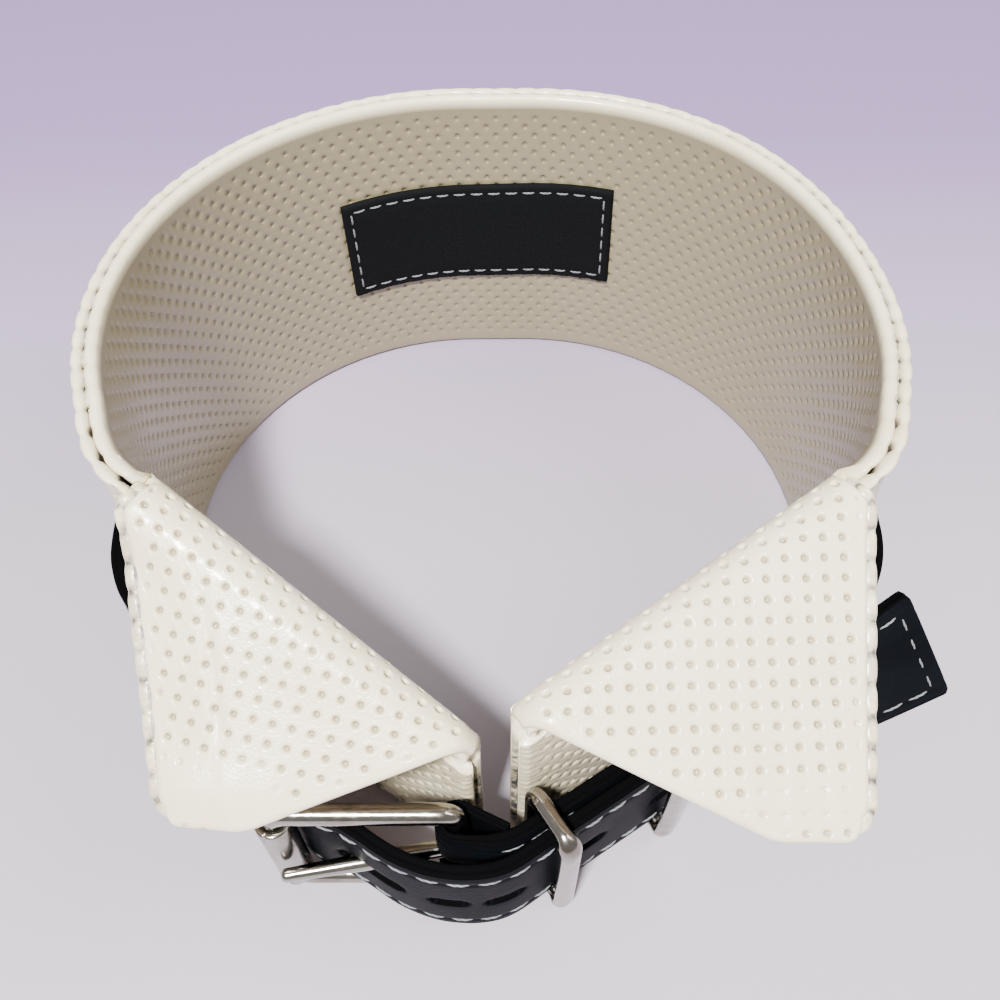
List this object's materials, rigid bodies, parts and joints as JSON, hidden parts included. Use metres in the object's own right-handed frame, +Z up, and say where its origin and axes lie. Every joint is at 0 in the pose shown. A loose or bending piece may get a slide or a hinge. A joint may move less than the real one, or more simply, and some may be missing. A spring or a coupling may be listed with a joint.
{
  "type": "buckled turn-down collar",
  "caption": "Stiffened neck collar of dimpled cream leatherette with turned-down front wings, closed in front by a black leather strap with a roller buckle and wire keepers.",
  "frame": {"origin": "On the neck axis, in the plane that the band's lower edge stands on.", "axes": "+Z up along the neck axis, -Y to the buckled front, +X to the wearer's left side, which is the right of the picture."},
  "size_m": [0.1263, 0.1242, 0.0558],
  "materials": {
    "cream_leatherette": "soft sheen, embossed with a diamond field of small dimples",
    "stiffener": "plain stiff interlining, hidden between the panels",
    "black_leather": "smooth satin face with raw cut edges",
    "label_cloth": "plain woven black cloth, left bare",
    "nickel": "polished nickel plate, lightly handled",
    "stitching": "twisted pale grey sewing thread",
    "cream_thread": "twisted cream sewing thread"
  },
  "bodies": {
    "collar_band": {"lining_panel": "cream_leatherette", "stiffener_core": "stiffener", "outer_panel": "cream_leatherette", "top_edge_thread": "cream_thread", "bottom_edge_thread": "cream_thread", "label_patch": "label_cloth", "label_thread": "stitching", "strap_body": "black_leather", "strap_upper_thread": "stitching", "strap_lower_thread": "stitching", "billet": "black_leather", "billet_upper_thread": "stitching", "billet_lower_thread": "stitching", "buckle_fold": "black_leather", "buckle_fold_thread": "stitching"},
    "left_wing": {"left_wing_facing": "cream_leatherette", "left_wing_core": "stiffener", "left_wing_underside": "cream_leatherette", "left_wing_thread": "cream_thread"},
    "right_wing": {"right_wing_facing": "cream_leatherette", "right_wing_core": "stiffener", "right_wing_underside": "cream_leatherette", "right_wing_thread": "cream_thread"},
    "buckle_frame": {"buckle_frame": "nickel"},
    "buckle_roller": {"buckle_roller": "nickel"},
    "buckle_prong": {"buckle_prong": "nickel"},
    "near_keeper": {"near_keeper": "nickel"},
    "far_keeper": {"far_keeper": "nickel"}
  },
  "joints": [
    {"name": "left_wing_fold", "type": "hinge", "parent": "collar_band", "child": "left_wing", "pos_m": [-0.04489, -0.03486, 0.0513], "axis": [-0.7827, 0.5083, 0.3592], "range_deg": [0, 60]},
    {"name": "right_wing_fold", "type": "hinge", "parent": "collar_band", "child": "right_wing", "pos_m": [0.04489, -0.03486, 0.0513], "axis": [-0.8206, -0.5329, -0.2063], "range_deg": [0, 60]},
    {"name": "buckle_hinge", "type": "hinge", "parent": "collar_band", "child": "buckle_frame", "pos_m": [-0.005, -0.0648, 0.0137], "axis": [0, 0, 1], "range_deg": [0, 4]},
    {"name": "prong_hinge", "type": "hinge", "parent": "buckle_frame", "child": "buckle_prong", "pos_m": [-0.005, -0.0648, 0.0137], "axis": [0, 0, 1], "range_deg": [0, 7]},
    {"name": "roller_spin", "type": "hinge", "parent": "buckle_frame", "child": "buckle_roller", "pos_m": [-0.0282, -0.0648, 0.0137], "axis": [0, 0, 1], "continuous": true},
    {"name": "near_keeper_slide", "type": "slide", "parent": "collar_band", "child": "near_keeper", "axis": [0.8387, 0.5446, 0], "range_m": [-0.0005, 0.005]},
    {"name": "far_keeper_slide", "type": "slide", "parent": "collar_band", "child": "far_keeper", "axis": [0.8387, 0.5446, 0], "range_m": [-0.007, 0.003]}
  ]
}
